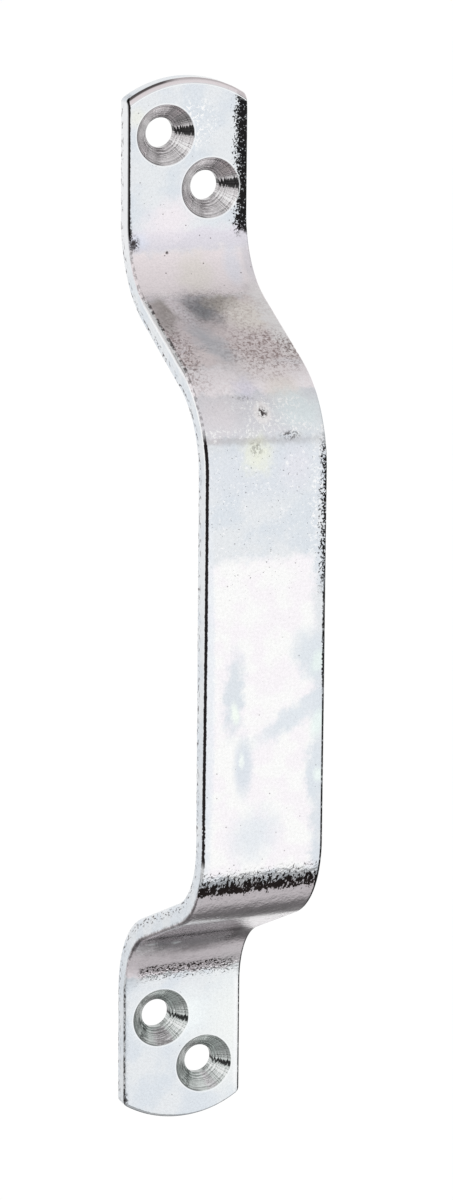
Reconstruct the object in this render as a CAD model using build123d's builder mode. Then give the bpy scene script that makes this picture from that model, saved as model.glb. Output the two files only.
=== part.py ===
from build123d import *

import os
from math import radians, sqrt, tan

os.makedirs("parts", exist_ok=True)

# Cranked gate pull handle: one piece of flat steel strip, bent so that both feet lie on the gate and
# the grip stands clear of it. All sizes are in millimetres and degrees.

# The strip that it is bent from
strip_width = 25.0
strip_thickness = 4.5
edge_radius = 0.6

# The bends
overall_length = 213.0
foot_flat_length = 27.5
finger_clearance = 40.5
leg_angle = 65.0
inner_bend_radius = 16.0

# The cropped ends of the feet
end_arc_radius = 22.0
end_corner_radius = 1.5

# The countersunk screw holes, two in each foot, set on a diagonal
screw_hole_radius = 3.0
countersink_radius = 6.0
countersink_angle = 90.0
hole_spacing_across = 9.4
hole_spacing_along = 10.9
outer_hole_to_end = 10.9

# Heights of the corners of the strip's middle line, measured from the middle of the handle
half_length = overall_length / 2
middle_bend_radius = inner_bend_radius + strip_thickness / 2
bend_setback = middle_bend_radius * tan(radians(leg_angle / 2))
foot_corner_height = half_length - foot_flat_length - bend_setback
grip_corner_height = foot_corner_height - finger_clearance / tan(radians(leg_angle))

# Depths of the strip's middle line: the backs of the feet lie on the gate at zero
foot_depth = -strip_thickness / 2
grip_depth = foot_depth - finger_clearance
overall_depth = finger_clearance + strip_thickness

# Heights of the holes, and where the rounded end meets the side of the strip
outer_hole_height = half_length - outer_hole_to_end
inner_hole_height = outer_hole_height - hole_spacing_along
half_width = strip_width / 2
shoulder_height = half_length - (end_arc_radius - sqrt(end_arc_radius**2 - half_width**2))

# The origin is on the gate's surface, midway between the two screw holes of the upper foot
middle_height = -(outer_hole_height + inner_hole_height) / 2
side_view = Plane(origin=(0, 0, middle_height), x_dir=(0, 1, 0), z_dir=(1, 0, 0))
foot_front = Plane(origin=(0, -strip_thickness, middle_height), x_dir=(1, 0, 0), z_dir=(0, -1, 0))

with BuildPart() as pull_handle:
    # The bent strip, seen from the side
    with BuildSketch(side_view):
        with BuildLine():
            FilletPolyline(
                (foot_depth, -half_length),
                (foot_depth, -foot_corner_height),
                (grip_depth, -grip_corner_height),
                (grip_depth, grip_corner_height),
                (foot_depth, foot_corner_height),
                (foot_depth, half_length),
                radius=middle_bend_radius,
            )
        trace(line_width=strip_thickness)
    extrude(amount=half_width, both=True)

    # The ends of the feet, cropped to a shallow arc with small rounded corners
    with BuildSketch(foot_front) as outline:
        with BuildLine():
            ThreePointArc((half_width, shoulder_height), (0, half_length), (-half_width, shoulder_height))
            Line((-half_width, shoulder_height), (-half_width, -shoulder_height))
            ThreePointArc((-half_width, -shoulder_height), (0, -half_length), (half_width, -shoulder_height))
            Line((half_width, -shoulder_height), (half_width, shoulder_height))
        make_face()
        fillet(outline.vertices(), end_corner_radius)
    extrude(amount=overall_depth, both=True, mode=Mode.INTERSECT)

    # The edges all round the front and the back, rounded by rolling and cropping
    across = pull_handle.edges().filter_by(Axis.X)
    through = pull_handle.edges().filter_by(Axis.Y)
    fillet(pull_handle.edges() - across - through, edge_radius)

    # The screw holes: the outer one is on the left of the upper foot and on the right of the lower foot
    half_spacing = hole_spacing_across / 2
    hole_places = [
        (-half_spacing, outer_hole_height),
        (half_spacing, inner_hole_height),
        (-half_spacing, -inner_hole_height),
        (half_spacing, -outer_hole_height),
    ]
    with Locations(foot_front):
        with Locations(*hole_places):
            CounterSinkHole(
                radius=screw_hole_radius,
                counter_sink_radius=countersink_radius,
                counter_sink_angle=countersink_angle,
            )

pull_handle.part.label = "pull_handle"
export_step(pull_handle.part, "parts/pull_handle.step")
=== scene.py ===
import math
from types import SimpleNamespace

import bmesh
import bpy
import numpy as np
from mathutils import Matrix, Vector, noise


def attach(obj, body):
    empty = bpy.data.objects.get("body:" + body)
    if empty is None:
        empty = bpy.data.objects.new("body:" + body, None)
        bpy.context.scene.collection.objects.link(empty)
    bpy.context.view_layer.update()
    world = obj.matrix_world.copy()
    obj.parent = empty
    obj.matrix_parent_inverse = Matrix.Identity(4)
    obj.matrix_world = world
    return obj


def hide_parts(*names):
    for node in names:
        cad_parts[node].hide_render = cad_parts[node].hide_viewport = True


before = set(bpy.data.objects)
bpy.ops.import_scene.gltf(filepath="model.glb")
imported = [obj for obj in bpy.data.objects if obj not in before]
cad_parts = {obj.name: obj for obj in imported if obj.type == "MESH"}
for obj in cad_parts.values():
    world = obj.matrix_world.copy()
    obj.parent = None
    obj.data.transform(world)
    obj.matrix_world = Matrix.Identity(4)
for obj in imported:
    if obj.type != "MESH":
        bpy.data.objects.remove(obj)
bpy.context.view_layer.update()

MM = 0.001

# The strip that the handle is bent from
strip_width = 25.0 * MM
strip_thickness = 4.5 * MM
left_edge_radius = 0.85 * MM
right_edge_radius = 0.4 * MM

# The bends
overall_length = 213.0 * MM
foot_flat_length = 27.5 * MM
finger_clearance = 40.5 * MM
leg_angle = math.radians(65.0)
inner_bend_radius = 16.0 * MM

# The cropped ends and the screw holes
end_arc_radius = 22.0 * MM
end_corner_radius = 1.5 * MM
screw_hole_radius = 3.0 * MM
countersink_radius = 6.0 * MM
rim_break = 0.12 * MM
rim_border = 0.28 * MM
groove_depth = 0.004 * MM
hole_spacing_across = 9.4 * MM
hole_spacing_along = 10.9 * MM
outer_hole_to_end = 10.9 * MM

# The front's surface: soft waves, the steel's grain, shoulders beside the right edge of the upper foot and of
# the grip, and a bevel at the upper end. The last three give their reach in from the edge, their slope, and
# the length over which it sets in.
wave_depth = 0.012 * MM
grain_depth = 0.1 * MM
foot_shoulder = (2.6 * MM, 0.03, 0.8 * MM)
grip_shoulder = (1.7 * MM, 0.04, 0.8 * MM)
end_bevel = (1.14 * MM, 0.75, 0.14 * MM)

# Rings of the front's border, by how far in from the edge they lie: the second is where the bevel starts
border_insets = (1.42 * MM, end_bevel[0], 1.0 * MM)

# Lengths along the strip's middle line, from the middle of the grip towards either end
half_width = strip_width / 2
middle_bend_radius = inner_bend_radius + strip_thickness / 2
bend_setback = middle_bend_radius * math.tan(leg_angle / 2)
bend_run = middle_bend_radius * leg_angle
leg_straight = finger_clearance / math.sin(leg_angle) - 2 * bend_setback
foot_corner_height = overall_length / 2 - foot_flat_length - bend_setback
grip_corner_height = foot_corner_height - finger_clearance / math.tan(leg_angle)
grip_half_straight = grip_corner_height - bend_setback
grip_bend_end = grip_half_straight + bend_run
leg_end = grip_bend_end + leg_straight
foot_start = leg_end + bend_run
half_blank = foot_start + foot_flat_length
outline_end = half_blank - 0.03 * MM

# The middle of the grip, seen from the frame's origin between the upper screw holes
middle_height = -(overall_length / 2 - outer_hole_to_end - hole_spacing_along / 2)


# The flat blank: x across the strip, y from the front at -strip_thickness to the back at zero, z along it


def end_corner(inset):
    """Half the angle of the end arc, and centre and radius of the small arc beside it, this far inside."""
    centre_x = half_width - end_corner_radius
    arc_angle = math.asin(centre_x / (end_arc_radius - end_corner_radius))
    centre_z = outline_end - end_arc_radius + (end_arc_radius - end_corner_radius) * math.cos(arc_angle)
    return arc_angle, centre_x, centre_z, end_corner_radius - inset


def blank_outline(inset, arc_steps=32, corner_steps=6):
    """Points round the blank, this far inside its edge: one quarter, mirrored to the other three."""
    arc_angle, centre_x, centre_z, radius = end_corner(inset)
    quarter = []
    for step in range(corner_steps + 1):
        angle = math.radians(90) - (math.radians(90) - arc_angle) * step / corner_steps
        quarter.append((centre_x + radius * math.sin(angle), centre_z + radius * math.cos(angle)))
    arc_radius = end_arc_radius - inset
    for step in range(1, arc_steps // 2 + 1):
        angle = arc_angle * (1 - 2 * step / arc_steps)
        height = outline_end - end_arc_radius + arc_radius * math.cos(angle)
        quarter.append((arc_radius * math.sin(angle), height))
    top = quarter + [(-x, z) for x, z in quarter[-2::-1]]
    return top + [(-x, -z) for x, z in top]


def add_ring(bm, points, depths):
    """One closed ring of vertices and its edges."""
    verts = [bm.verts.new((x, y, z)) for (x, z), y in zip(points, depths)]
    for a, b in zip(verts, verts[1:] + verts[:1]):
        bm.edges.new((a, b))
    return verts


def bridge(bm, ring_a, ring_b):
    """Quads between two rings that have the same number of vertices."""
    count = len(ring_a)
    for i in range(count):
        j = (i + 1) % count
        bm.faces.new((ring_a[i], ring_a[j], ring_b[j], ring_b[i]))


def ring_edges(rings):
    """The edges of several rings."""
    found = []
    for ring in rings:
        for a, b in zip(ring, ring[1:] + ring[:1]):
            edge = next(e for e in a.link_edges if e.other_vert(a) is b)
            found.append(edge)
    return found


def edge_radii():
    """How far the edge is rounded at each point of the outline: most on the left, least on the right."""
    shares = [fade(x, -9 * MM, 9 * MM) for x, _ in blank_outline(0.0)]
    return [left_edge_radius + (right_edge_radius - left_edge_radius) * share for share in shares]


def blank_sides(bm, steps=6):
    """The front's border, the rounded edges and the side wall. Returns the front ring and the back ring."""
    radii = edge_radii()
    rings = [([inset] * len(radii), [-strip_thickness] * len(radii)) for inset in border_insets]
    for step in range(steps + 1):
        angle = math.radians(90) * (1 - step / steps)
        insets = [radius * (1 - math.cos(angle)) for radius in radii]
        depths = [radius * (1 - math.sin(angle)) - strip_thickness for radius in radii]
        rings.append((insets, depths))
    rounded = rings[len(border_insets):]
    rings += [(insets, [-strip_thickness - depth for depth in depths]) for insets, depths in rounded[::-1]]
    made = []
    for insets, depths in rings:
        points = [blank_outline(inset)[index] for index, inset in enumerate(insets)]
        made.append(add_ring(bm, points, depths))
    for ring_a, ring_b in zip(made, made[1:]):
        bridge(bm, ring_a, ring_b)
    return made[0], made[-1]


def hole_places():
    """Across and along the blank. The outer hole is left on the upper foot and right on the lower one."""
    outer = half_blank - outer_hole_to_end
    inner = outer - hole_spacing_along
    side = hole_spacing_across / 2
    return [(-side, outer), (side, inner), (-side, -inner), (side, -outer)]


def countersunk_hole(bm, place, seed, segments=96, grooves=9, steps_per_groove=4):
    """One hole with its turned countersink. Returns the ring at the front and the ring at the back."""
    cone_depth = countersink_radius - screw_hole_radius
    count = grooves * steps_per_groove
    down = [cone_depth * k / count for k in range(count + 1)]
    cone = [(countersink_radius - drop, drop + rim_break / 3) for drop in down]
    rim = [(countersink_radius + rim_border, 0.0), (countersink_radius + rim_break, 0.0)]
    exit_rim = [
        (screw_hole_radius, strip_thickness - rim_break),
        (screw_hole_radius + rim_break, strip_thickness),
    ]
    rings = []
    for index, (radius, depth) in enumerate(rim + cone + exit_rim):
        groove = index - len(rim)
        points, depths = [], []
        for k in range(segments):
            turn = 2 * math.pi * k / segments
            wobble = 0.0
            if 0 < groove < count:
                strength = noise.noise(Vector((seed, index * 0.37, 0.0))) + 0.6
                chatter_place = Vector((6 * math.cos(turn), 6 * math.sin(turn), seed + index * 0.31))
                chatter = 0.4 * noise.noise(chatter_place)
                ripple = math.sin(2 * math.pi * groove / steps_per_groove)
                wobble = groove_depth * (strength * ripple + chatter)
            points.append((place[0] + radius * math.cos(turn), place[1] + radius * math.sin(turn)))
            depths.append(depth - strip_thickness + wobble)
        rings.append(add_ring(bm, points, depths))
    for ring_a, ring_b in zip(rings, rings[1:]):
        bridge(bm, ring_a, ring_b)
    return rings[0], rings[-1]


def close_face(bm, rings):
    """Fills the flat face between the blank's outline and the rims of its holes."""
    bmesh.ops.triangle_fill(bm, edges=ring_edges(rings), use_beauty=True, use_dissolve=False)


def cut_across(bm, heights):
    """Cuts the blank at these lengths along it, so that it can bend."""
    for height in heights:
        geometry = bm.verts[:] + bm.edges[:] + bm.faces[:]
        bmesh.ops.bisect_plane(bm, geom=geometry, plane_co=(0, 0, height), plane_no=(0, 0, 1))


def cut_along(bm, places, low, high):
    """Cuts the stretch of the blank between these heights lengthwise."""
    for place in places:
        faces = [f for f in bm.faces if low < f.calc_center_median().z < high]
        edges = list({e for f in faces for e in f.edges})
        verts = list({v for f in faces for v in f.verts})
        bmesh.ops.bisect_plane(bm, geom=verts + edges + faces, plane_co=(place, 0, 0), plane_no=(1, 0, 0))


def bend_stations(bend_step=0.5 * MM, straight_step=2.0 * MM, foot_cuts=13):
    """Lengths along the blank where it is cut: close together in the bends, wider apart on the straights."""
    spans = [
        (0.0, grip_half_straight, straight_step),
        (grip_half_straight, grip_bend_end, bend_step),
        (grip_bend_end, leg_end, straight_step),
        (leg_end, foot_start, bend_step),
    ]
    stations = []
    for start, end, step in spans:
        count = max(1, round((end - start) / step))
        stations += [start + (end - start) * k / count for k in range(count)]
    stations += [-s for s in stations[1:]]
    cut_foot = foot_flat_length - 3 * MM
    stations += [foot_start + cut_foot * k / foot_cuts for k in range(foot_cuts + 1)]
    return stations + [-foot_start]


def bent(x, y, z):
    """Takes a point of the flat blank to its place on the handle."""
    side = math.copysign(1.0, z)
    run = abs(z)
    out = y + strip_thickness / 2
    sin_leg, cos_leg = math.sin(leg_angle), math.cos(leg_angle)
    grip_depth = -finger_clearance - strip_thickness / 2
    if run <= grip_half_straight:
        depth, height = grip_depth + out, run
    elif run <= grip_bend_end:
        angle = (run - grip_half_straight) / middle_bend_radius
        radius = middle_bend_radius - out
        depth = grip_depth + middle_bend_radius - radius * math.cos(angle)
        height = grip_half_straight + radius * math.sin(angle)
    elif run <= leg_end:
        past = run - grip_bend_end
        radius = middle_bend_radius - out
        depth = grip_depth + middle_bend_radius - radius * cos_leg + past * sin_leg
        height = grip_half_straight + radius * sin_leg + past * cos_leg
    else:
        foot_depth = -strip_thickness / 2
        bend_top = foot_corner_height + bend_setback
        angle = max(0.0, (foot_start - run) / middle_bend_radius)
        radius = middle_bend_radius + out
        depth = foot_depth - middle_bend_radius + radius * math.cos(angle)
        height = bend_top - radius * math.sin(angle) + max(0.0, run - foot_start)
    return x, depth, middle_height + side * height


def end_gap(x, z):
    """How far a point of the blank lies inside the arc at its nearer end."""
    return end_arc_radius - math.hypot(x, max(0.0, abs(z) - (half_blank - end_arc_radius)))


def fade(value, start, end):
    """Rises smoothly from 0 at start to 1 at end."""
    share = min(1.0, max(0.0, (value - start) / (end - start)))
    return share * share * (3 - 2 * share)


def shoulder(gap, reach, slope, onset):
    """How far the front has dropped, this far in from an edge, where a shoulder starts at reach."""
    past = max(0.0, reach - gap)
    return slope * (past * past / (2 * onset) if past < onset else past - onset / 2)


def dent(x, z):
    """How far the front of the blank lies below a true plane here."""
    wave = noise.noise(Vector((x / (11 * MM), z / (17 * MM), 3.1)))
    wave += 0.5 * noise.noise(Vector((x / (5 * MM), z / (8 * MM), 7.7)))
    depth = wave_depth * max(0.0, 1.0 + wave)
    torn = 0.35 * MM * noise.noise(Vector((z / (0.9 * MM), 0.5, 0.0)))
    right_gap = half_width - x + torn
    foot = fade(z, foot_start - 5 * MM, foot_start - 2 * MM) * fade(half_blank - z, 2 * MM, 5 * MM)
    depth += foot * shoulder(right_gap, *foot_shoulder)
    grip = fade(z, -10 * MM, 20 * MM) * fade(grip_bend_end - z, 8 * MM, 16 * MM)
    depth += grip * shoulder(right_gap, *grip_shoulder)
    if z > 0:
        depth += shoulder(end_gap(x, z), *end_bevel)
    return depth


def handle_mesh(columns=18, shoulder_cuts=(1.7, 1.9, 2.2, 2.6, 3.0, 3.4)):
    """The whole handle as one closed mesh. Each point keeps its place on the flat blank for the material."""
    bm = bmesh.new()
    front, back = blank_sides(bm)
    fronts, backs = [front], [back]
    for index, place in enumerate(hole_places()):
        rim, exit_rim = countersunk_hole(bm, place, seed=index * 5.3)
        fronts.append(rim)
        backs.append(exit_rim)
    close_face(bm, fronts)
    close_face(bm, backs)
    cut_across(bm, bend_stations())
    cut_along(bm, [half_width * (2 * k / columns - 1) for k in range(1, columns)], -foot_start, foot_start)
    cut_along(bm, [half_width - gap * MM for gap in shoulder_cuts], foot_start, half_blank)
    bmesh.ops.recalc_face_normals(bm, faces=bm.faces)
    blank = np.array([v.co[:] for v in bm.verts])
    for vert in bm.verts:
        x, y, z = vert.co
        y += dent(x, z) * -y / strip_thickness
        vert.co = bent(x, y, z)
    mesh = bpy.data.meshes.new("gate_pull_handle")
    bm.to_mesh(mesh)
    bm.free()
    place = mesh.attributes.new("blank", "FLOAT_VECTOR", "POINT")
    place.data.foreach_set("vector", (blank / MM).astype(np.float32).ravel())
    mesh.shade_smooth()
    mesh.set_sharp_from_angle(angle=math.radians(32))
    return mesh


# Nodes for the materials


def add_node(tree, kind, inputs=None, **settings):
    """A node with its settings, and its inputs set to numbers or joined to other nodes' outputs."""
    made = tree.nodes.new(kind)
    for name, value in settings.items():
        setattr(made, name, value)
    for name, value in (inputs or {}).items():
        if isinstance(value, bpy.types.NodeSocket):
            tree.links.new(value, made.inputs[name])
        else:
            made.inputs[name].default_value = value
    return made


def maths(tree, operation, a, b=0.0, clamp=False):
    """One step of arithmetic on one or two values."""
    return add_node(tree, "ShaderNodeMath", {0: a, 1: b}, operation=operation, use_clamp=clamp).outputs[0]


def product(tree, value, *others):
    """All the values multiplied together."""
    for other in others:
        value = maths(tree, "MULTIPLY", value, other)
    return value


def total(tree, value, *others):
    """The sum of all the values."""
    for other in others:
        value = maths(tree, "ADD", value, other)
    return value


def highest(tree, value, *others):
    """The largest of the values."""
    for other in others:
        value = maths(tree, "MAXIMUM", value, other)
    return value


def less(tree, value, taken):
    """What is left of a value."""
    return maths(tree, "SUBTRACT", value, taken)


def size_of(tree, value):
    """A value without its sign."""
    return maths(tree, "ABSOLUTE", value)


def ramp(tree, value, low, high, to_low=0.0, to_high=1.0, smooth=True):
    """value from low to high becomes to_low to to_high, and stays there outside."""
    kind = "SMOOTHSTEP" if smooth else "LINEAR"
    inputs = {"Value": value, "From Min": low, "From Max": high, "To Min": to_low, "To Max": to_high}
    return add_node(tree, "ShaderNodeMapRange", inputs, interpolation_type=kind).outputs[0]


def band(tree, value, low, high, soft):
    """1 where value lies between low and high, with soft borders."""
    above_low = ramp(tree, value, low - soft, low + soft)
    return product(tree, above_low, ramp(tree, value, high + soft, high - soft))


def blend_values(tree, factor, first, second):
    """A mix of two numbers."""
    return add_node(tree, "ShaderNodeMix", {0: factor, 2: first, 3: second}, data_type="FLOAT").outputs[0]


def blend_colours(tree, factor, first, second, how="MIX"):
    """A mix of two colours: the first where factor is 0, the second where it is 1."""
    made = add_node(tree, "ShaderNodeMix", data_type="RGBA", blend_type=how)
    for index, value in ((0, factor), (6, first), (7, second)):
        if isinstance(value, bpy.types.NodeSocket):
            tree.links.new(value, made.inputs[index])
        else:
            made.inputs[index].default_value = value if index == 0 else (*value[:3], 1.0)
    return made.outputs[2]


def shaded(tree, mask, tint, colour):
    """The tint multiplied by a colour where the mask is 1."""
    darker = blend_colours(tree, 1.0, tint, colour, how="MULTIPLY")
    return blend_colours(tree, mask, tint, darker)


def by_foot(tree, along, lower, upper):
    """One value on the lower foot and another on the upper one."""
    return ramp(tree, along, -50.0, 50.0, lower, upper)


def ellipse_mask(tree, place, x, z, half_x, half_z, turn, soft):
    """1 inside an ellipse on the blank, turned by so many degrees, fading to 0 over soft times its size."""
    moved = add_node(tree, "ShaderNodeMapping", {"Vector": place}, vector_type="TEXTURE")
    moved.inputs["Location"].default_value = (x, 0.0, z)
    moved.inputs["Rotation"].default_value = (0.0, math.radians(turn), 0.0)
    moved.inputs["Scale"].default_value = (half_x, 1000.0, half_z)
    size = add_node(tree, "ShaderNodeVectorMath", {0: moved.outputs[0]}, operation="LENGTH").outputs["Value"]
    return ramp(tree, size, 1 + soft, max(0.0, 1 - soft))


def noise_node(tree, place, scale, detail=2.0, rough=0.5):
    """A noise texture; scale is in waves a millimetre."""
    inputs = {"Vector": place, "Scale": scale, "Detail": detail, "Roughness": rough}
    return add_node(tree, "ShaderNodeTexNoise", inputs)


def noise_field(tree, place, scale, detail=2.0, rough=0.5):
    """Noise from 0 to 1, mostly near a half."""
    return noise_node(tree, place, scale, detail, rough).outputs[0]


def stretched_noise(tree, place, stretch, scale, rough):
    """Noise that is finer in some directions than in others."""
    moved = add_node(tree, "ShaderNodeMapping", {"Vector": place, "Scale": stretch})
    return noise_field(tree, moved.outputs[0], scale, 2.0, rough)


def streaks(tree, value):
    """Noise along one value."""
    inputs = {"W": value, "Scale": 1.0, "Detail": 2.0}
    return add_node(tree, "ShaderNodeTexNoise", inputs, noise_dimensions="1D").outputs[0]


def warped(tree, place, scale, reach):
    """The place moved about by noise, so that what is drawn there gets a torn border."""
    field = noise_node(tree, place, scale, 4.0, 0.6)
    centred = {0: field.outputs["Color"], 1: (-0.5, -0.5, -0.5)}
    shift = add_node(tree, "ShaderNodeVectorMath", centred, operation="ADD")
    shift = add_node(tree, "ShaderNodeVectorMath", {0: shift.outputs[0], "Scale": reach}, operation="SCALE")
    moved = add_node(tree, "ShaderNodeVectorMath", {0: place, 1: shift.outputs[0]}, operation="ADD")
    return moved.outputs[0]


def marks(tree, place, size, spread):
    """Small round marks scattered at random, about this far apart."""
    cells = add_node(tree, "ShaderNodeTexVoronoi", {"Vector": place, "Scale": 1 / spread})
    return ramp(tree, cells.outputs["Distance"], size / spread, 0.5 * size / spread)


def distance_to(tree, place, centre):
    """How far each point is from a centre."""
    reach = add_node(tree, "ShaderNodeVectorMath", {0: place, 1: centre}, operation="DISTANCE")
    return reach.outputs["Value"]


def nearest_hole(tree, flat, across, along):
    """How far each point of the blank is from the axis of the nearest screw hole in mm, and the angle at
    which it lies there in degrees: 0 is to the right, 90 above."""
    nearest = angle = None
    for x, z in hole_places():
        reach = distance_to(tree, flat, (x / MM, 0.0, z / MM))
        right = less(tree, across, x / MM)
        above = less(tree, along, z / MM)
        turn = maths(tree, "DEGREES", maths(tree, "ARCTAN2", above, right))
        if nearest is None:
            nearest, angle = reach, turn
            continue
        angle = blend_values(tree, maths(tree, "LESS_THAN", reach, nearest), angle, turn)
        nearest = maths(tree, "MINIMUM", nearest, reach)
    return nearest, angle


def empty_material(name):
    """A new material without nodes."""
    material = bpy.data.materials.new(name)
    material.use_nodes = True
    material.node_tree.nodes.clear()
    return material


# The zinc plate. Places and sizes are in mm on the flat blank: across, and along from the grip's middle.

# Bands of colour where the bends have stretched the plate: name, from and to along it, softness and colour
bands = [
    ("edge of the upper bend", 92.5, 97.3, 1.2, (0.78, 0.755, 0.82)),
    ("upper bend", 80.0, 92.5, 1.2, (0.89, 0.82, 0.84)),
    ("leg", 58.0, 79.8, 1.3, (0.87, 0.785, 0.79)),
    ("grip bend", 51.3, 58.0, 1.2, (1.0, 0.94, 0.965)),
    ("edge of the grip bend", 43.3, 51.3, 1.2, (0.76, 0.755, 0.795)),
    ("lower grip bend", -62.0, -44.5, 1.2, (0.93, 0.865, 0.90)),
    ("lower leg", -95.2, -62.0, 0.8, (0.93, 0.865, 0.90)),
]

# Stains in the passivate, and two patches of painted shade low down: name, place, half sizes, turn in
# degrees, softness, colour and strength
stains = [
    ("grey streak", -6.4, -6.0, 2.0, 7.5, 3, 0.5, (0.72, 0.77, 0.82), 0.9),
    ("grey streak", -4.4, -20.5, 1.8, 5.5, 0, 0.5, (0.72, 0.77, 0.83), 0.9),
    ("grey corner", 9.8, 0.5, 3.5, 5.0, -30, 0.5, (0.74, 0.79, 0.84), 0.9),
    ("grey band", 6.0, -11.5, 8.0, 1.9, -30, 0.6, (0.75, 0.80, 0.85), 0.9),
    ("grey side", 10.8, -23.0, 2.2, 6.0, 0, 0.5, (0.74, 0.79, 0.84), 0.9),
    ("blue cloud", -2.0, -34.5, 5.0, 4.0, -40, 0.7, (0.78, 0.82, 0.87), 0.8),
    ("green spot", -6.2, -9.7, 0.8, 1.9, -10, 0.6, (0.93, 0.99, 0.93), 1.0),
    ("green spot", -4.8, -19.2, 0.5, 1.5, 0, 0.6, (0.92, 0.97, 0.95), 0.9),
    ("green spot", 11.1, -0.8, 1.3, 2.2, 20, 0.6, (0.84, 0.93, 0.90), 0.8),
    ("green spot", 11.1, -13.3, 1.3, 2.6, 15, 0.6, (0.87, 0.96, 0.93), 0.8),
    ("green spot", 11.3, -23.7, 0.9, 1.4, 0, 0.6, (0.90, 0.98, 0.95), 0.8),
    ("upper grip", 0.0, 37.5, 14.0, 5.5, 0, 0.5, (0.72, 0.76, 0.82), 0.7),
    ("yellow glow", -1.9, 40.4, 2.6, 3.0, 0, 0.7, (0.86, 0.88, 0.77), 0.9),
    ("lilac", -1.8, 52.5, 2.0, 2.0, 0, 0.6, (0.80, 0.78, 0.92), 0.6),
    ("beige", 5.8, 52.2, 3.2, 2.8, 0, 0.6, (0.92, 0.85, 0.80), 0.7),
    ("green side", 8.0, 47.5, 5.0, 3.5, 20, 0.6, (0.80, 0.88, 0.90), 0.8),
    ("grip pink", -9.0, 48.0, 4.0, 3.6, 0, 0.7, (0.85, 0.80, 0.83), 0.7),
    ("grip pink", 6.0, 38.0, 2.5, 3.5, 0, 0.8, (0.80, 0.79, 0.85), 0.6),
    ("foot pink", 2.6, 106.0, 3.2, 2.6, 20, 0.8, (0.88, 0.83, 0.88), 0.7),
    ("foot yellow", -10.6, 120.0, 1.6, 1.6, 0, 0.7, (0.86, 0.87, 0.80), 0.7),
    ("pit halo", 0.3, 47.6, 1.7, 2.0, 0, 0.25, (0.93, 0.90, 0.90), 0.9),
    ("foot lilac", -10.3, 95.3, 1.8, 1.8, 0, 0.6, (0.76, 0.79, 0.90), 0.8),
    ("foot pink", -4.0, 99.5, 5.0, 3.6, -15, 0.7, (0.90, 0.84, 0.88), 0.8),
    ("bend beige", 0.0, 86.8, 3.4, 4.8, 0, 0.6, (0.82, 0.78, 0.72), 0.6),
    ("bend blue", 8.2, 88.0, 1.7, 4.5, 0, 0.6, (0.80, 0.81, 0.89), 0.7),
    ("bend mauve", 10.6, 82.2, 1.5, 1.6, 0, 0.6, (0.68, 0.63, 0.66), 0.7),
    ("bend right", 11.7, 88.5, 1.1, 5.5, 0, 0.6, (0.70, 0.68, 0.73), 0.7),
    ("leg dark", -8.8, 77.6, 2.3, 3.6, -10, 0.7, (0.46, 0.43, 0.40), 0.9),
    ("leg streak", -6.2, 77.0, 1.5, 5.0, -18, 0.8, (1.0, 0.94, 0.96), 1.0),
    ("leg blue", -1.8, 76.4, 3.0, 4.4, -25, 0.8, (0.38, 0.39, 0.41), 0.95),
    ("leg olive", 3.0, 77.8, 3.4, 2.6, 0, 0.5, (0.60, 0.56, 0.50), 0.8),
    ("leg beige", 6.6, 73.4, 4.4, 4.6, -25, 0.6, (1.0, 0.94, 0.89), 1.0),
    ("leg right", 11.4, 71.5, 2.3, 11.0, 0, 0.5, (1.0, 0.97, 0.97), 1.0),
    ("leg left", -10.4, 74.0, 1.6, 5.0, 0, 0.6, (0.50, 0.46, 0.44), 0.85),
    ("leg grey", -3.4, 64.5, 2.4, 8.0, -18, 0.7, (0.62, 0.63, 0.67), 0.8),
    ("leg foot", 3.0, 57.2, 6.0, 2.4, 12, 0.5, (0.98, 0.90, 0.90), 0.7),
    ("lower foot pale", -1.0, -105.5, 8.0, 4.5, 0, 0.7, (0.92, 0.965, 0.97), 0.9),
    ("lower foot right", 10.4, -109.0, 5.0, 12.5, 0, 0.8, (0.89, 0.915, 0.91), 1.0),
    # painted shade: these two darken the lower grip bend and the hollow below it
    ("low shade", 0.0, -56.5, 14.0, 3.5, 0, 0.5, (0.56, 0.53, 0.54), 0.8),
    ("low hollow", -1.0, -81.5, 12.5, 7.5, 0, 0.45, (0.25, 0.225, 0.235), 0.9),
    ("hollow spot", -9.0, -84.0, 1.1, 0.7, 0, 0.6, (0.85, 0.86, 0.86), 0.6),
    ("hollow spot", -3.6, -84.5, 0.9, 0.6, 0, 0.6, (0.80, 0.82, 0.82), 0.6),
    ("hollow spot", -2.4, -81.5, 0.6, 0.8, 0, 0.6, (0.80, 0.80, 0.80), 0.5),
    ("left strip", -11.7, -6.0, 1.2, 35.0, 0, 0.4, (0.82, 0.86, 0.91), 0.7),
]

# Patches of brown grain on the upper leg and on the grip's bend: place, half sizes, turn and strength
mottles = [
    (5.5, 62.5, 7.0, 7.0, -15, 1.0),
    (-10.5, 63.0, 2.6, 9.0, 0, 1.0),
    (0.0, 76.0, 11.0, 6.0, 0, 0.45),
    (-3.0, 55.0, 9.0, 7.0, 0, 0.15),
    (11.0, 61.5, 1.6, 5.0, 0, 0.8),
]

# Clusters of black pits, and one painted reflection: place, half sizes and strength. The strongest have a
# solid core.
clusters = [
    (0.3, 47.6, 1.0, 1.0, 1.0),
    (5.2, 43.3, 1.9, 0.7, 0.8),
    (-11.5, 95.0, 1.1, 1.7, 1.0),
    (-4.9, 92.4, 0.35, 0.35, 0.9),
    (-2.0, 41.5, 1.2, 1.3, 0.4),
    # a painted reflection, not pits: this long thin one continues the dark left line at the upper bend
    (-12.05, 97.0, 0.35, 4.0, 1.0),
    (-2.5, 50.5, 1.6, 0.5, 0.4),
    (-12.25, -122.0, 0.5, 1.3, 0.9),
]
cored_from = 0.85

# Patches of bright scratches: place and half sizes
scratched_patches = [
    (1.5, 118.5, 4.5, 4.5),
    (0.5, 46.3, 3.2, 2.2),
    (5.5, 45.8, 2.6, 1.5),
    (2.0, 49.0, 8.0, 1.0),
]
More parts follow.
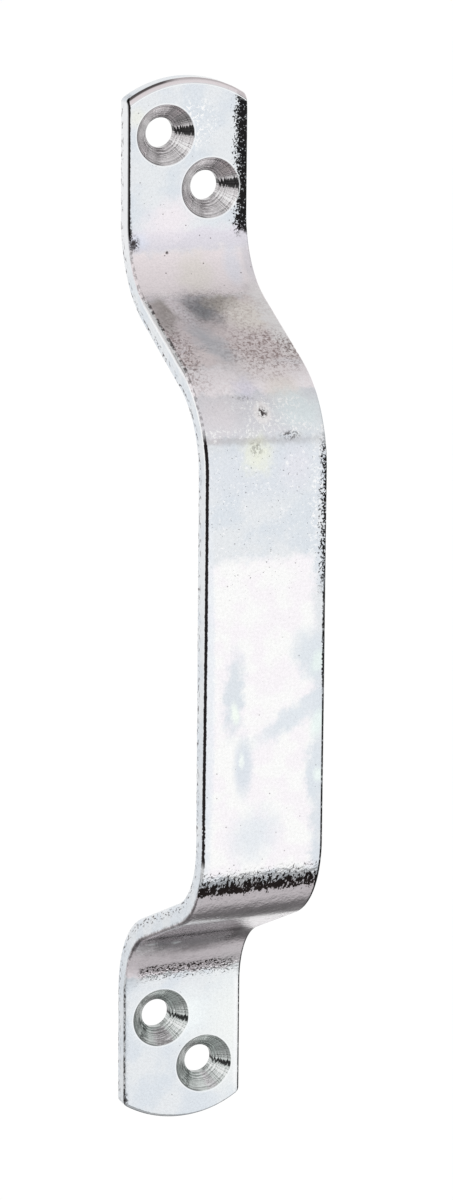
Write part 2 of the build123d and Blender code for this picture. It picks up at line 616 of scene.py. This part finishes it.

# Sectors of the countersinks' painted reflections: from and to in degrees, and how much light is painted into
# them in the lower foot and in the upper foot
sectors = [
    (22.0, 78.0, 0.62, 0.55),
    (20.0, 38.0, 1.1, 1.15),
    (98.0, 130.0, 1.7, 1.45),
    (150.0, 172.0, 0.6, 0.68),
    (172.0, 190.0, 0.75, 0.85),
    (-190.0, -150.0, 0.75, 0.85),
    (-160.0, -128.0, 0.82, 1.05),
    (-140.0, -112.0, 1.2, 1.4),
    (-100.0, -70.0, 1.2, 1.2),
    (-42.0, -16.0, 1.5, 1.5),
    (-8.0, 8.0, 0.85, 1.0),
]

# Colours of the marks. The blacks of the edges, bends and rim (black, line_black, band_black, rim_black) are
# painted reflections of dark surroundings, the pits' black also serves one painted reflection, and the bright
# colour of the edges is a painted highlight.
black = (0.02, 0.018, 0.018)
line_black = (0.025, 0.02, 0.02)
band_black = (0.035, 0.027, 0.025)
pit_and_reflection_black = (0.08, 0.07, 0.07)
rust_black = (0.08, 0.06, 0.06)
rim_black = (0.10, 0.09, 0.09)
pit_grey = (0.25, 0.23, 0.23)
grain_brown = (0.46, 0.40, 0.39)
crease_grey = (0.82, 0.80, 0.79)
bright_scratch = (0.99, 0.99, 0.99)
bright_fleck = (0.98, 0.98, 0.99)
painted_highlight = (0.96, 0.97, 0.98)
white = (1.0, 1.0, 1.0)


def blank_fields(tree):
    """What the material knows of each point: its place on the flat blank, masks, and shared noises."""
    at = SimpleNamespace()
    kept = add_node(tree, "ShaderNodeAttribute", attribute_type="GEOMETRY", attribute_name="blank")
    at.place = kept.outputs["Vector"]
    at.across, at.depth, at.along = add_node(tree, "ShaderNodeSeparateXYZ", {0: at.place}).outputs
    at.run = size_of(tree, at.along)
    at.from_middle = size_of(tree, at.across)
    flatten = {0: at.place, 1: (1.0, 0.0, 1.0)}
    at.flat = add_node(tree, "ShaderNodeVectorMath", flatten, operation="MULTIPLY").outputs[0]
    at.hole_reach, at.hole_angle = nearest_hole(tree, at.flat, at.across, at.along)
    at.torn = warped(tree, warped(tree, at.place, 0.45, 5.0), 1.6, 1.6)
    at.ragged = warped(tree, at.place, 1.1, 1.6)
    at.torn_across, _, at.torn_along = add_node(tree, "ShaderNodeSeparateXYZ", {0: at.torn}).outputs
    at.ragged_along = add_node(tree, "ShaderNodeSeparateXYZ", {0: at.ragged}).outputs[2]

    at.front = ramp(tree, at.depth, -3.6, -4.0)
    at.rim = ramp(tree, at.depth, -3.3, -3.6)
    at.cone = product(tree, ramp(tree, at.hole_reach, 6.08, 5.95), ramp(tree, at.depth, -4.52, -4.46))
    at.upper = by_foot(tree, at.along, 0.0, 1.0)
    arc_centre = (0.0, 0.0, (half_blank - end_arc_radius) / MM)
    at.end_reach = less(tree, end_arc_radius / MM, distance_to(tree, at.flat, arc_centre))
    at.upper_end = ramp(tree, at.along, 118.0, 119.0)

    at.clouds = noise_field(tree, at.place, 0.16, 3.0)
    at.speckle = noise_field(tree, at.ragged, 1.6, 3.0, 0.75)
    at.specks = ramp(tree, at.speckle, 0.48, 0.59)
    at.fine_specks = noise_field(tree, at.place, 1.9, 2.0, 0.6)
    at.grit = noise_field(tree, at.place, 2.8, 2.0, 0.6)
    at.breaks = ramp(tree, noise_field(tree, at.place, 0.9, 4.0, 0.7), 0.44, 0.56)
    ring_place = total(tree, product(tree, at.hole_reach, 4.0), noise_field(tree, at.place, 0.8))
    at.rings = streaks(tree, ring_place)
    return at


def steel_bump(tree, at):
    """Grain of the rolled steel, coarser in the lower bends, soft lumps, and turned rings in the holes."""
    lower_bends = product(tree, band(tree, at.along, -99.0, -39.0, 2.0), 0.6)
    coarse = total(tree, lower_bends, band(tree, at.along, -46.5, -42.0, 1.0))
    coarse = ramp(tree, coarse, 0.0, 1.0, 0.3, 1.0)
    grain = product(tree, noise_field(tree, at.place, 1.4, 2.0, 0.6), coarse)
    lumps = product(tree, noise_field(tree, at.place, 0.4), 1.2)
    turned = product(tree, at.rings, at.cone, 0.3)
    height = total(tree, grain, lumps, turned)
    inputs = {"Height": height, "Strength": 1.0, "Distance": grain_depth}
    return add_node(tree, "ShaderNodeBump", inputs).outputs[0]


def passivate(tree, at):
    """The passivate's colours: bluish clouds, bands at the bends, a white grip and stains, and painted shade.
    """
    tint = blend_colours(tree, ramp(tree, at.clouds, 0.40, 0.60), (0.73, 0.775, 0.825), (0.80, 0.825, 0.85))
    for _, low, high, soft, colour in bands:
        banded = product(tree, band(tree, at.torn_along, low, high, soft), at.front)
        tint = blend_colours(tree, banded, tint, colour)
    warm = ramp(tree, noise_field(tree, at.place, 0.2), 0.4, 0.6)
    grip_white = blend_colours(tree, warm, (0.95, 0.92, 0.95), (0.965, 0.965, 0.96))
    on_grip = band(tree, at.torn_along, -42.0, 20.5, 1.2)
    on_grip = product(tree, on_grip, band(tree, at.torn_across, -12.2, 10.0, 1.2), at.front)
    tint = blend_colours(tree, on_grip, tint, grip_white)
    for _, x, z, half_x, half_z, turn, soft, colour, strength in stains:
        place = at.torn if half_x > 1.9 else at.ragged
        spot = ellipse_mask(tree, place, x, z, half_x, half_z, turn, soft)
        tint = blend_colours(tree, product(tree, spot, at.front, strength), tint, colour)
    return tint


def add_grain(tree, at, tint):
    """Fine mottling all over, and patches of brown grain with pale specks in it."""
    fine = ramp(tree, noise_field(tree, at.place, 2.2, 2.0, 0.6), 0.3, 0.7, 0.95, 1.04)
    tint = shaded(tree, 1.0, tint, fine)
    for x, z, half_x, half_z, turn, strength in mottles:
        patch = product(tree, ellipse_mask(tree, at.torn, x, z, half_x, half_z, turn, 0.5), strength)
        tint = shaded(tree, product(tree, at.specks, patch, at.front), tint, grain_brown)
        pale = product(tree, ramp(tree, at.speckle, 0.42, 0.34), product(tree, patch, 0.7), at.front)
        tint = blend_colours(tree, pale, tint, (1.0, 0.95, 0.94))
    return tint


def add_pits(tree, at, tint):
    """Single pits over the front, most on the upper bend and in the darker clouds, and clusters of pits.
    One cluster at the left edge is a painted reflection, continuing the left line.
    """
    cloudy = ramp(tree, at.clouds, 0.45, 0.6, 0.15, 0.7)
    pitted = maths(tree, "ADD", cloudy, band(tree, at.along, 84.0, 99.0, 3.0), clamp=True)
    pits = product(tree, marks(tree, at.place, 0.2, 2.0), at.front, pitted)
    tint = shaded(tree, pits, tint, pit_grey)
    pitting = highest(tree, ramp(tree, at.specks, 0.2, 0.7), marks(tree, at.ragged, 0.3, 0.6))
    for x, z, half_x, half_z, strength in clusters:
        cluster = ellipse_mask(tree, at.place, x, z, half_x, half_z, 0, 0.5)
        filled = ramp(tree, at.grit, 0.50, 0.54)
        if strength > cored_from:
            core = ellipse_mask(tree, at.ragged, x, z, 0.5 * half_x, 0.4 * half_z, 0, 0.4)
            filled = highest(tree, pitting, core)
        tint = shaded(tree, product(tree, cluster, filled, strength, at.front), tint, pit_and_reflection_black)
    return tint


def add_scratches(tree, at, tint):
    """A faint crease at the top of the grip, patches of bright scratches, and bright flecks on the grip."""
    crease = ellipse_mask(tree, at.ragged, -3.0, 42.9, 16.0, 0.6, 2.9, 0.8)
    tint = shaded(tree, product(tree, crease, at.front), tint, crease_grey)
    scratches = ramp(tree, noise_field(tree, at.ragged, 1.8, 2.0, 0.6), 0.55, 0.59)
    scratched = band(tree, at.torn_along, 43.7, 45.2, 0.5)
    for x, z, half_x, half_z in scratched_patches:
        scratched = highest(tree, scratched, ellipse_mask(tree, at.torn, x, z, half_x, half_z, 0, 0.5))
    tint = blend_colours(tree, product(tree, scratches, scratched, at.front), tint, bright_scratch)
    flecked = band(tree, at.torn_along, 17.0, 42.0, 3.0)
    flecked = product(tree, flecked, ramp(tree, at.speckle, 0.59, 0.66, 0.0, 0.85), at.front)
    return blend_colours(tree, flecked, tint, bright_fleck)


def left_line_strength(tree, at, on_leg):
    """The painted line is solid on the flats, broken on the bends and the leg, and patchy on the lower foot.
    """
    solid = highest(tree, band(tree, at.along, -40.0, 44.5, 1.5), ramp(tree, at.along, 94.0, 97.0))
    broken = product(tree, band(tree, at.along, 42.0, 98.0, 2.0), ramp(tree, on_leg, 0.0, 1.0, 0.45, 0.85))
    broken = highest(tree, broken, product(tree, band(tree, at.along, -96.0, -39.0, 2.0), 0.35))
    broken = product(tree, at.breaks, broken)
    patchy = product(tree, ramp(tree, at.breaks, 0.0, 1.0, 0.5, 0.95), ramp(tree, at.along, -94.0, -98.0))
    return highest(tree, solid, broken, patchy)


def add_left_line(tree, at, tint):
    """A painted reflection of dark surroundings: the dark line along the left edge, which lies further in on
    the leg and has a painted highlight outside it there. Returns the tint and the line's mask."""
    wander = ramp(tree, band(tree, at.along, -42.0, -30.0, 3.0), 0.0, 1.0, 0.3, 0.9)
    wobble = product(tree, less(tree, at.fine_specks, 0.5), wander)
    on_leg = band(tree, at.along, 57.0, 81.0, 3.0)

    # how far in from the left edge a point is, measured round the rounded edge
    reach_in = product(tree, total(tree, at.across, half_width / MM), 0.922)
    reach_back = product(tree, total(tree, at.depth, strip_thickness / MM), 0.3875)
    line_place = total(tree, ramp(tree, at.along, -60.0, 20.0, -0.15, 0.18), product(tree, on_leg, 0.48))
    line_place = less(tree, line_place, ramp(tree, at.along, 60.0, 100.0, 0.0, 0.08))
    inside = total(tree, less(tree, less(tree, reach_in, reach_back), line_place), wobble)
    # painted highlight: bright metal between the line and the edge on the leg
    outside = product(tree, ramp(tree, inside, 0.0, -0.12), on_leg, at.rim, 0.7)
    tint = blend_colours(tree, outside, tint, (0.97, 0.99, 1.0))

    # painted reflection: the dark line itself, for dark surroundings mirrored in the rounded edge
    half_line = ramp(tree, at.along, -90.0, -40.0, 0.22, 0.31)
    line = ramp(tree, less(tree, size_of(tree, inside), half_line), 0.05, -0.05)
    line = product(tree, line, left_line_strength(tree, at, on_leg), at.rim)
    tint = shaded(tree, line, tint, line_black)
    # painted highlight: a pale line beside the dark one on the grip's upper bend
    pale_line = product(tree, band(tree, inside, -0.52, -0.3, 0.05), band(tree, at.along, 38.0, 56.0, 3.0))
    return blend_colours(tree, product(tree, pale_line, at.rim), tint, white), line


def right_speckles(tree, at):
    """Painted reflection of dark surroundings: black specks at the right edge, a dense band with glints on
    the upper foot, and fewer on the grip.
    """
    sway = product(tree, less(tree, at.torn_across, at.across), 0.35)
    towards = total(tree, at.across, sway)
    density = ramp(tree, towards, 8.6, 10.1, -0.25, -0.01, smooth=False)
    density = total(tree, density, ramp(tree, towards, 10.1, 11.3, 0.0, 0.25, smooth=False))
    foot_band = ramp(tree, total(tree, at.grit, density), 0.47, 0.52)
    foot_band = product(tree, foot_band, band(tree, at.torn_along, 95.5, 122.8, 0.8))
    glints = marks(tree, at.ragged, 0.17, 0.6)
    foot_band = product(tree, foot_band, ramp(tree, glints, 0.0, 1.0, 1.0, 0.35))
    density = ramp(tree, at.across, 10.2, 12.25, -0.24, 0.07, smooth=False)
    grip_specks = ramp(tree, total(tree, at.grit, density), 0.46, 0.50)
    grip_specks = product(tree, grip_specks, band(tree, at.torn_along, 14.0, 42.0, 3.0))
    return highest(tree, foot_band, grip_specks)


def right_line(tree, at):
    """A painted reflection: the thin dark line at the right edge from the grip down to the lower foot, rough
    at its upper end.
    """
    start = ramp(tree, at.along, -98.0, -60.0, 12.02, 11.9)
    rough_reach = product(tree, less(tree, at.grit, 0.4), band(tree, at.along, -6.0, 20.0, 5.0))
    line = ramp(tree, less(tree, total(tree, at.across, rough_reach), start), 0.0, 0.12)
    line = product(tree, line, ramp(tree, at.along, 22.0, 12.0))
    return product(tree, line, ramp(tree, at.fine_specks, 0.36, 0.46, 0.55, 1.0))


def add_right_marks(tree, at, tint):
    """Painted light at the right edge: a bright highlight strip beside the lower foot's, white glints beside
    the grip's, and dark reflections there.
    """
    # painted highlight: a bright strip beside the lower foot's right edge
    strip = band(tree, at.across, 11.3, 12.1, 0.5)
    strip = product(tree, strip, band(tree, at.torn_along, -122.0, -98.0, 2.0), at.front)
    tint = blend_colours(tree, strip, tint, (0.95, 0.96, 0.97))
    # painted glints: white specks beside the grip's right edge
    white_glints = product(tree, band(tree, at.torn_across, 9.3, 12.2, 0.5), band(tree, at.along, 17.0, 44.0, 3.0))
    white_glints = product(tree, white_glints, ramp(tree, at.speckle, 0.54, 0.60, 0.0, 0.8), at.front)
    tint = blend_colours(tree, white_glints, tint, white)
    # painted reflection: the dark specks and the line at the right edge
    dark = highest(tree, right_speckles(tree, at), right_line(tree, at))
    return shaded(tree, product(tree, dark, at.front), tint, black)


def add_bend_bands(tree, at, tint):
    """Painted reflection: ragged black bands in the lower bend of the grip and where the lower bend runs into
    the lower foot, darkening the grey reflection of the low panel into black specks.
    """
    spikes = stretched_noise(tree, at.place, (1.0, 1.0, 0.5), 2.3, 0.65)
    spikes = total(tree, spikes, ramp(tree, at.along, -42.2, -44.6, -0.13, 0.12, smooth=False))
    spikes = total(tree, spikes, ramp(tree, at.ragged_along, -45.7, -46.5, 0.0, -0.25, smooth=False))
    spikes = product(tree, ramp(tree, spikes, 0.49, 0.53), band(tree, at.along, -47.0, -41.0, 0.3))
    dashes = stretched_noise(tree, at.place, (0.8, 1.0, 1.2), 2.6, 0.7)
    dashes = total(tree, dashes, ramp(tree, at.along, -95.6, -94.3, -0.08, -0.01, smooth=False))
    dashes = product(tree, ramp(tree, dashes, 0.495, 0.525), band(tree, at.ragged_along, -96.8, -92.7, 0.3))
    dashes = product(tree, dashes, band(tree, at.across, -9.8, 10.8, 0.8))
    return shaded(tree, product(tree, highest(tree, spikes, dashes), at.front), tint, band_black)


def add_upper_end(tree, at, tint, off_line):
    """The upper end's pinkish bevel, with a painted reflection on its left: a dark line along the rim."""
    bevel = product(tree, ramp(tree, at.end_reach, 1.0, 0.85), at.upper_end, at.front, off_line)
    tint = blend_colours(tree, bevel, tint, (0.90, 0.83, 0.85))
    # painted reflection: darkens the rim where it mirrors dark surroundings
    rim = ramp(tree, at.end_reach, 0.45, 0.25)
    rim = product(tree, rim, ramp(tree, at.torn_across, -1.0, -6.0, 0.2, 0.95), at.upper_end)
    rim = product(tree, rim, ramp(tree, at.depth, -3.5, -3.9))
    return shaded(tree, rim, tint, rim_black)


def add_edge_highlights(tree, at, tint, off_line):
    """Painted highlights on the end's bevel, round the countersinks' rims and on the flats' left edge."""
    end_highlight = product(tree, band(tree, at.end_reach, 1.02, 1.2, 0.06), at.upper_end)
    rim_highlight = product(tree, band(tree, at.hole_reach, 6.1, 6.28, 0.05), 0.7)
    highlighted = product(tree, highest(tree, end_highlight, rim_highlight), at.front, off_line)
    left_highlight = product(tree, ramp(tree, at.across, -12.2, -12.35), band(tree, at.depth, -4.05, -3.75, 0.1))
    on_flats = highest(tree, band(tree, at.along, -40.0, 46.0, 3.0), ramp(tree, at.run, 93.0, 97.0))
    left_highlight = product(tree, left_highlight, on_flats, off_line)
    return blend_colours(tree, highest(tree, highlighted, left_highlight), tint, painted_highlight)


def add_side_marks(tree, at, tint):
    """A paler left side on the upper foot, and rust-coloured flecks on the sheared sides."""
    foot_side = ramp(tree, at.across, -12.3, -12.45)
    foot_side = product(tree, foot_side, ramp(tree, at.along, 88.0, 96.0, 0.0, 0.85))
    tint = blend_colours(tree, foot_side, tint, (0.88, 0.885, 0.90))
    sheared = product(tree, ramp(tree, at.from_middle, 12.3, 12.45), ramp(tree, at.depth, -2.4, -1.3))
    flecks = ramp(tree, stretched_noise(tree, at.place, (1.0, 1.6, 0.7), 1.2, 0.6), 0.56, 0.61)
    return shaded(tree, product(tree, flecks, sheared), tint, rust_black)


def countersink_wedge(tree, at, jagged_angle):
    """Painted reflection: a black wedge at the right of each countersink, a little above its middle in the
    upper foot.
    """
    off_wedge = less(tree, jagged_angle, by_foot(tree, at.along, -9.5, 6.0))
    half_wedge = by_foot(tree, at.along, 6.0, 10.5)
    return ramp(tree, less(tree, size_of(tree, off_wedge), half_wedge), 2.0, -2.0)


def add_countersinks(tree, at, tint):
    """Painted reflections in the countersinks: turned streaks, a fan of glints at the right, the black wedge,
    a dark lip and sectors of more or less light.
    """
    streak = product(tree, noise_field(tree, at.place, 2.4), 0.35)
    tone = total(tree, ramp(tree, at.rings, 0.40, 0.60, -0.17, 0.13), less(tree, streak, 0.17), 0.6)
    jagged_angle = total(tree, at.hole_angle, product(tree, less(tree, at.rings, 0.5), 25.0))
    fan_place = total(tree, product(tree, at.hole_angle, 0.45), product(tree, at.rings, 3.0))
    fan = ramp(tree, streaks(tree, fan_place), 0.38, 0.62, -0.24, 0.26)
    tone = total(tree, tone, product(tree, fan, band(tree, at.hole_angle, -60.0, 85.0, 12.0)))
    wedge = countersink_wedge(tree, at, jagged_angle)
    tone = product(tree, tone, ramp(tree, wedge, 0.0, 1.0, 1.0, 0.06))
    lip = ramp(tree, at.hole_reach, 5.68, 5.86)
    lip = product(tree, lip, ramp(tree, size_of(tree, at.hole_angle), 80.0, 110.0))
    tone = product(tree, tone, ramp(tree, lip, 0.0, 1.0, 1.0, 0.45))
    for start, end, lower_share, upper_share in sectors:
        sector = band(tree, jagged_angle, start, end, 7.0)
        change = by_foot(tree, at.along, lower_share - 1.0, upper_share - 1.0)
        tone = product(tree, tone, total(tree, product(tree, sector, change), 1.0))
    hue = blend_colours(tree, at.upper, (0.95, 1.0, 0.98), (1.0, 0.965, 0.98))
    return blend_colours(tree, at.cone, tint, blend_colours(tree, 1.0, hue, tone, how="MULTIPLY"))


def plate_roughness(tree, at):
    """Bright nearly all over, duller on the upper leg, the lower foot's edges and parts of the holes."""
    dull = ellipse_mask(tree, at.torn, -11.8, -94.5, 2.4, 4.0, 0, 0.8)
    dull = highest(tree, dull, product(tree, band(tree, at.along, 64.0, 82.0, 3.0), 0.6))
    worn_edge = product(tree, ramp(tree, at.from_middle, 11.5, 11.8), ramp(tree, at.along, -94.0, -98.0))
    dull = highest(tree, dull, product(tree, worn_edge, ramp(tree, at.breaks, 0.0, 1.0, 0.4, 1.0)))
    dull_sector = product(tree, band(tree, at.hole_angle, -134.0, -104.0, 8.0), at.cone, at.upper)
    dull = highest(tree, product(tree, dull, at.front), dull_sector)
    return ramp(tree, dull, 0.0, 1.0, 0.10, 0.45, smooth=False)


def zinc_material():
    """Bright zinc plate with a blue passivate over grainy rolled steel, with reflections and shade painted
    in.
    """
    material = empty_material("bright_zinc")
    tree = material.node_tree
    at = blank_fields(tree)
    tint = passivate(tree, at)
    tint = add_grain(tree, at, tint)
    tint = add_pits(tree, at, tint)
    tint = add_scratches(tree, at, tint)
    tint, left_line = add_left_line(tree, at, tint)
    off_line = less(tree, 1.0, left_line)
    tint = add_right_marks(tree, at, tint)
    tint = add_bend_bands(tree, at, tint)
    tint = add_upper_end(tree, at, tint, off_line)
    tint = add_edge_highlights(tree, at, tint, off_line)
    tint = add_side_marks(tree, at, tint)
    tint = add_countersinks(tree, at, tint)
    inputs = {"Base Color": tint, "Metallic": 1.0, "Roughness": plate_roughness(tree, at)}
    inputs["Normal"] = steel_bump(tree, at)
    shader = add_node(tree, "ShaderNodeBsdfPrincipled", inputs)
    add_node(tree, "ShaderNodeOutputMaterial", {"Surface": shader.outputs[0]})
    return material


# The studio

# Brightness of the white tent that the metal sees, by the angle above straight ahead in degrees: 90 is
# overhead, 180 is behind and -90 is below
tent_profile = [
    (-180, 0.97), (-163, 0.95), (-155, 0.8), (-140, 0.3), (-116, 0.13), (-108, 0.17), (-96, 0.40),
    (-88, 0.54), (-64, 0.5), (-58, 1.0), (5, 1.0), (17, 0.94), (45, 0.84), (62, 0.79), (80, 0.75),
    (100, 0.66), (120, 0.62), (132, 0.4), (149, 0.4), (158, 0.9),
]

# Where the tent's lower part differs, to the right and behind: from and to in degrees, and its brightness
tent_sides = [
    (60, 181, 0.6),
    (105, 181, 0.95),
]


def grey(brightness):
    """A colour without hue."""
    return (brightness, brightness, brightness)


def tent_light(tree, direction):
    """The colour of the tent in each direction."""
    axes = add_node(tree, "ShaderNodeSeparateXYZ", {0: direction})
    ahead = product(tree, axes.outputs[1], -1.0)
    height = axes.outputs[2]
    turn = maths(tree, "DEGREES", maths(tree, "ARCTAN2", height, ahead))
    profile = add_node(tree, "ShaderNodeValToRGB", {0: ramp(tree, turn, -180.0, 180.0, smooth=False)})
    elements = profile.color_ramp.elements
    for index, (degrees, brightness) in enumerate(tent_profile):
        position = (degrees + 180) / 360
        element = elements[index] if index < 2 else elements.new(position)
        element.position = position
        element.color = (*grey(brightness), 1.0)
    light = profile.outputs[0]
    bearing = maths(tree, "DEGREES", maths(tree, "ARCTAN2", axes.outputs[0], ahead))
    low = ramp(tree, size_of(tree, height), 0.62, 0.46)
    for start, end, brightness in tent_sides:
        side = product(tree, low, band(tree, bearing, start, end, 4))
        light = blend_colours(tree, side, light, grey(brightness))
    return light


def studio_world():
    """Plain white to the camera. The metal sees a white tent: bright in front, dimmer overhead and below."""
    world = bpy.data.worlds.new("studio")
    bpy.context.scene.world = world
    world.use_nodes = True
    tree = world.node_tree
    tree.nodes.clear()
    light = tent_light(tree, add_node(tree, "ShaderNodeTexCoord").outputs["Generated"])
    rays = add_node(tree, "ShaderNodeLightPath")
    light = blend_colours(tree, rays.outputs["Is Glossy Ray"], white, light)
    background = add_node(tree, "ShaderNodeBackground", {"Color": light, "Strength": 1.0})
    add_node(tree, "ShaderNodeOutputWorld", {"Surface": background.outputs[0]})


# Panels of the tent that stand near the handle: corners of each in metres, and how bright it is
low_gap = [
    (-1.0, -0.431, -0.625),
    (1.0, -0.431, -0.625),
    (1.0, -0.132, -0.457),
    (-1.0, -0.132, -0.457),
]
left_side = [
    (-0.6, -0.73, -0.65),
    (-0.6, 0.39, -0.65),
    (-0.6, 0.39, 0.8),
    (-0.6, -0.73, 0.8),
]
tent_panels = [
    ("low_gap", low_gap, 0.42),
    ("left_side", left_side, 0.85),
]


def flat_panel(name, corners, material):
    """One flat four-cornered object for the studio."""
    mesh = bpy.data.meshes.new(name)
    mesh.from_pydata(corners, [], [(0, 1, 2, 3)])
    mesh.materials.append(material)
    panel = bpy.data.objects.new(name, mesh)
    bpy.context.scene.collection.objects.link(panel)
    return panel


def tent_panel(name, corners, brightness):
    """One panel of the tent, which only shows in the metal."""
    material = empty_material(name)
    tree = material.node_tree
    glow = add_node(tree, "ShaderNodeEmission", {"Color": (*grey(brightness), 1.0), "Strength": 1.0})
    add_node(tree, "ShaderNodeOutputMaterial", {"Surface": glow.outputs[0]})
    panel = flat_panel(name, corners, material)
    panel.visible_camera = False
    panel.visible_diffuse = False
    panel.visible_shadow = False


def pale_floor(half=6.0, height=-0.66):
    """A plain white floor far below the handle. A little white of its own, for the camera, evens it out."""
    material = empty_material("pale_floor")
    tree = material.node_tree
    rays = add_node(tree, "ShaderNodeLightPath")
    matt = add_node(tree, "ShaderNodeBsdfDiffuse", {"Color": (*grey(0.92), 1.0)})
    lift = blend_colours(tree, rays.outputs["Is Camera Ray"], grey(0.0), grey(0.1))
    glow = add_node(tree, "ShaderNodeEmission", {"Color": lift, "Strength": 1.0})
    both = add_node(tree, "ShaderNodeAddShader", {0: matt.outputs[0], 1: glow.outputs[0]})
    add_node(tree, "ShaderNodeOutputMaterial", {"Surface": both.outputs[0]})
    corners = [(-half, -half, height), (half, -half, height), (half, half, height), (-half, half, height)]
    floor = flat_panel("floor", corners, material)
    floor.visible_glossy = False


def photograph_camera():
    """The photograph's viewpoint: from the left and above, with a long lens."""
    azimuth, elevation, roll = (math.radians(v) for v in (-22.78, 14.96, 0.49))
    distance, lens = 1.0768, 162.4
    aim = Vector((9.22 * MM, -3.56 * MM, middle_height + 1.06 * MM))
    ahead = math.cos(elevation)
    back = Vector((math.sin(azimuth) * ahead, -math.cos(azimuth) * ahead, math.sin(elevation)))
    level = Vector((math.cos(azimuth), math.sin(azimuth), 0.0))
    upright = back.cross(level)
    right = level * math.cos(roll) + upright * math.sin(roll)
    up = upright * math.cos(roll) - level * math.sin(roll)
    data = bpy.data.cameras.new("camera")
    data.sensor_width = 36.0
    data.lens = lens
    camera = bpy.data.objects.new("camera", data)
    bpy.context.scene.collection.objects.link(camera)
    turn = Matrix((right, up, back)).transposed().to_4x4()
    camera.matrix_world = Matrix.Translation(aim + back * distance) @ turn
    bpy.context.scene.camera = camera


handle = bpy.data.objects.new("gate_pull_handle", handle_mesh())
bpy.context.scene.collection.objects.link(handle)
handle.data.materials.append(zinc_material())
weighted = handle.modifiers.new("even_normals", "WEIGHTED_NORMAL")
weighted.keep_sharp = True
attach(handle, "root")
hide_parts("pull_handle")

studio_world()
for name, corners, brightness in tent_panels:
    tent_panel(name, corners, brightness)
pale_floor()
photograph_camera()
bpy.context.scene.view_settings.view_transform = "Standard"
